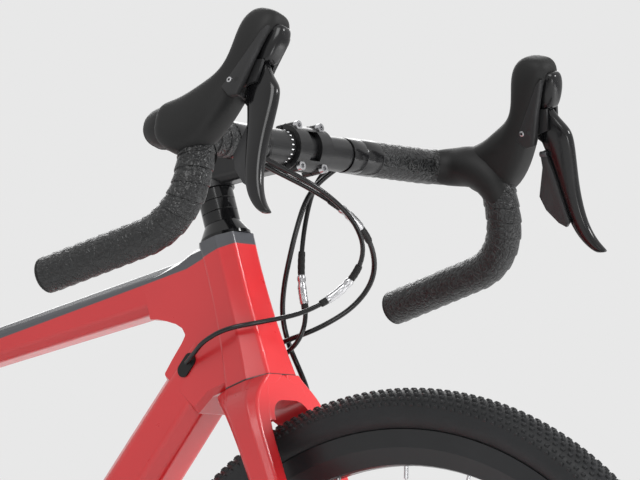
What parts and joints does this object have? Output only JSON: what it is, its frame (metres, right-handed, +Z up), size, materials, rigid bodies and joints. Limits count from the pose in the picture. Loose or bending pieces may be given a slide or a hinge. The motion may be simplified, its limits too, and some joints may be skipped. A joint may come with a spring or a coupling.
{
  "type": "gravel bike",
  "caption": "Drop-bar gravel bicycle with faceted frame, straight fork, disc brakes, spoked wheels with knobbed tyres, chain drive and derailleurs.",
  "frame": {"origin": "on the ground midway between the two wheels, in the bike's middle plane", "axes": "+X forward, +Y to the rider's left, +Z up"},
  "size_m": [1.7359, 0.5156, 1.0229],
  "materials": {
    "frame_paint": "satin",
    "black_metal": "satin",
    "bright_steel": "brushed",
    "grey_alloy": "satin",
    "tyre_rubber": "matte",
    "rim_black": "satin",
    "bar_wrap": "grained",
    "hood_rubber": "matte",
    "lever_black": "gloss",
    "cable_black": "gloss",
    "saddle_cover": "satin",
    "black_plastic": "matte"
  },
  "bodies": {
    "frame": {"front_frame": "frame_paint", "rear_triangle": "frame_paint", "cable_ports": "hood_rubber", "frame_bearings": "black_metal", "seat_clamp": "black_metal", "rear_axle": "black_metal", "rear_caliper": "black_metal", "front_mech_base": "black_metal", "rear_mech_base": "black_metal", "chain": "bright_steel", "rear_brake_hose": "cable_black", "rear_shift_housing": "cable_black", "front_shift_housing": "cable_black", "cable_fittings": "bright_steel"},
    "seatpost": {"seatpost": "black_metal", "saddle_clamp": "black_metal", "saddle_rails": "bright_steel", "saddle": "saddle_cover"},
    "steering": {"fork": "frame_paint", "headset_spacers": "black_metal", "stem": "black_metal", "stem_faceplate": "black_metal", "stem_hardware": "bright_steel", "handlebar": "black_metal", "bar_tape": "bar_wrap", "hoods": "hood_rubber", "lever_bodies": "black_metal", "front_brake_hose": "cable_black", "front_caliper": "black_metal", "front_axle": "black_metal"},
    "brake_lever_right": {"brake_lever_right": "lever_black"},
    "brake_lever_left": {"brake_lever_left": "lever_black"},
    "shift_paddle_right": {"shift_paddle_right": "grey_alloy"},
    "shift_paddle_left": {"shift_paddle_left": "grey_alloy"},
    "front_pad_right": {"front_pad_right": "black_plastic"},
    "front_pad_left": {"front_pad_left": "black_plastic"},
    "rear_pad_right": {"rear_pad_right": "black_plastic"},
    "rear_pad_left": {"rear_pad_left": "black_plastic"},
    "front_wheel": {"front_tyre": "tyre_rubber", "front_rim": "rim_black", "front_spokes": "bright_steel", "front_hub": "black_metal", "front_rotor": "bright_steel"},
    "rear_wheel": {"rear_tyre": "tyre_rubber", "rear_rim": "rim_black", "rear_spokes": "bright_steel", "rear_hub": "black_metal", "rear_rotor": "bright_steel"},
    "cassette": {"cassette": "bright_steel"},
    "crank": {"crank_right": "black_metal", "crank_left": "black_metal", "chainrings": "grey_alloy"},
    "pedal_right": {"pedal_right": "black_plastic"},
    "pedal_left": {"pedal_left": "black_plastic"},
    "rear_mech_links": {"rear_mech_links": "black_metal"},
    "rear_mech_knuckle": {"rear_mech_knuckle": "black_metal"},
    "rear_mech_cage": {"rear_mech_cage": "grey_alloy"},
    "guide_pulley": {"guide_pulley": "black_plastic"},
    "tension_pulley": {"tension_pulley": "black_plastic"},
    "front_mech_cage": {"front_mech_cage": "grey_alloy"}
  },
  "joints": [
    {"name": "steering", "type": "hinge", "parent": "frame", "child": "steering", "pos_m": [0.3276, 0, 0.77585], "axis": [-0.3077, 0, 0.9515], "range_deg": [-40, 40], "stiffness_Nm_per_rad": 1.2, "deforming": ["rear_brake_hose", "rear_shift_housing", "front_shift_housing", "cable_fittings"]},
    {"name": "seatpost_height", "type": "slide", "parent": "frame", "child": "seatpost", "axis": [-0.284, 0, 0.9588], "range_m": [-0.05, 0.06]},
    {"name": "front_wheel_spin", "type": "hinge", "parent": "steering", "child": "front_wheel", "pos_m": [0.515, 0, 0.353], "axis": [0, 1, 0], "continuous": true},
    {"name": "rear_wheel_spin", "type": "hinge", "parent": "frame", "child": "rear_wheel", "pos_m": [-0.515, 0, 0.353], "axis": [0, 1, 0], "continuous": true},
    {"name": "crank_spin", "type": "hinge", "parent": "frame", "child": "crank", "pos_m": [-0.09107, 0, 0.281], "axis": [0, 1, 0], "continuous": true, "deforming": ["chain"]},
    {"name": "cassette_spin", "type": "hinge", "parent": "frame", "child": "cassette", "pos_m": [-0.515, 0, 0.353], "axis": [0, 1, 0], "continuous": true},
    {"name": "pedal_right_spin", "type": "hinge", "parent": "crank", "child": "pedal_right", "pos_m": [0.08143, -0.067, 0.281], "axis": [0, 1, 0], "continuous": true},
    {"name": "pedal_left_spin", "type": "hinge", "parent": "crank", "child": "pedal_left", "pos_m": [-0.26357, 0.067, 0.281], "axis": [0, 1, 0], "continuous": true},
    {"name": "brake_lever_right_pull", "type": "hinge", "parent": "steering", "child": "brake_lever_right", "pos_m": [0.51294, -0.20523, 0.95798], "axis": [0, 0.9613, -0.2756], "range_deg": [0, 18], "stiffness_Nm_per_rad": 2, "springref_deg": -8.59},
    {"name": "shift_paddle_right_push", "type": "hinge", "parent": "brake_lever_right", "child": "shift_paddle_right", "pos_m": [0.50994, -0.20266, 0.93228], "axis": [1, 0, 0], "range_deg": [0, 14], "stiffness_Nm_per_rad": 0.5, "springref_deg": -11.46},
    {"name": "brake_lever_left_pull", "type": "hinge", "parent": "steering", "child": "brake_lever_left", "pos_m": [0.51294, 0.20523, 0.95798], "axis": [0, 0.9613, 0.2756], "range_deg": [0, 18], "stiffness_Nm_per_rad": 2, "springref_deg": -8.59},
    {"name": "shift_paddle_left_push", "type": "hinge", "parent": "brake_lever_left", "child": "shift_paddle_left", "pos_m": [0.50994, 0.20266, 0.93228], "axis": [-1, 0, 0], "range_deg": [0, 14], "stiffness_Nm_per_rad": 0.5, "springref_deg": -11.46},
    {"name": "front_pad_right_slide", "type": "slide", "parent": "steering", "child": "front_pad_right", "axis": [0, 1, 0], "range_m": [0, 0.00046]},
    {"name": "front_pad_left_slide", "type": "slide", "parent": "steering", "child": "front_pad_left", "axis": [0, -1, 0], "range_m": [0, 0.00046]},
    {"name": "rear_pad_right_slide", "type": "slide", "parent": "frame", "child": "rear_pad_right", "axis": [0, 1, 0], "range_m": [0, 0.00046]},
    {"name": "rear_pad_left_slide", "type": "slide", "parent": "frame", "child": "rear_pad_left", "axis": [0, -1, 0], "range_m": [0, 0.00046]},
    {"name": "rear_mech_swing", "type": "hinge", "parent": "frame", "child": "rear_mech_links", "pos_m": [-0.532, -0.086, 0.295], "axis": [0.774, 0, 0.6332], "range_deg": [-16, 16], "stiffness_Nm_per_rad": 6, "deforming": ["chain"]},
    {"name": "rear_mech_knuckle_turn", "type": "hinge", "parent": "rear_mech_links", "child": "rear_mech_knuckle", "pos_m": [-0.505, -0.066, 0.262], "axis": [0.774, 0, 0.6332], "range_deg": [-16.2, 16.2]},
    {"name": "rear_mech_cage_swing", "type": "hinge", "parent": "rear_mech_knuckle", "child": "rear_mech_cage", "pos_m": [-0.492, -0.06, 0.24], "axis": [0, 1, 0], "range_deg": [-20, 25], "stiffness_Nm_per_rad": 3, "deforming": ["chain"]},
    {"name": "guide_pulley_spin", "type": "hinge", "parent": "rear_mech_cage", "child": "guide_pulley", "pos_m": [-0.492, -0.0465, 0.24], "axis": [0, 1, 0], "continuous": true},
    {"name": "tension_pulley_spin", "type": "hinge", "parent": "rear_mech_cage", "child": "tension_pulley", "pos_m": [-0.47, -0.0465, 0.152], "axis": [0, 1, 0], "continuous": true},
    {"name": "front_mech_swing", "type": "hinge", "parent": "frame", "child": "front_mech_cage", "pos_m": [-0.13367, -0.033, 0.43132], "axis": [1, 0, 0], "range_deg": [0, 7], "stiffness_Nm_per_rad": 4, "deforming": ["chain"]}
  ],
  "couplings": [
    {"joint": "cassette_spin", "follows": "crank_spin", "ratio": 2.7059},
    {"joint": "guide_pulley_spin", "follows": "crank_spin", "ratio": -3.8333},
    {"joint": "tension_pulley_spin", "follows": "crank_spin", "ratio": 3.8333},
    {"joint": "rear_mech_knuckle_turn", "follows": "rear_mech_swing", "ratio": -1},
    {"joint": "front_pad_right_slide", "follows": "brake_lever_left_pull", "m_per_rad": 0.001432},
    {"joint": "front_pad_left_slide", "follows": "brake_lever_left_pull", "m_per_rad": 0.001432},
    {"joint": "rear_pad_right_slide", "follows": "brake_lever_right_pull", "m_per_rad": 0.001432},
    {"joint": "rear_pad_left_slide", "follows": "brake_lever_right_pull", "m_per_rad": 0.001432}
  ]
}
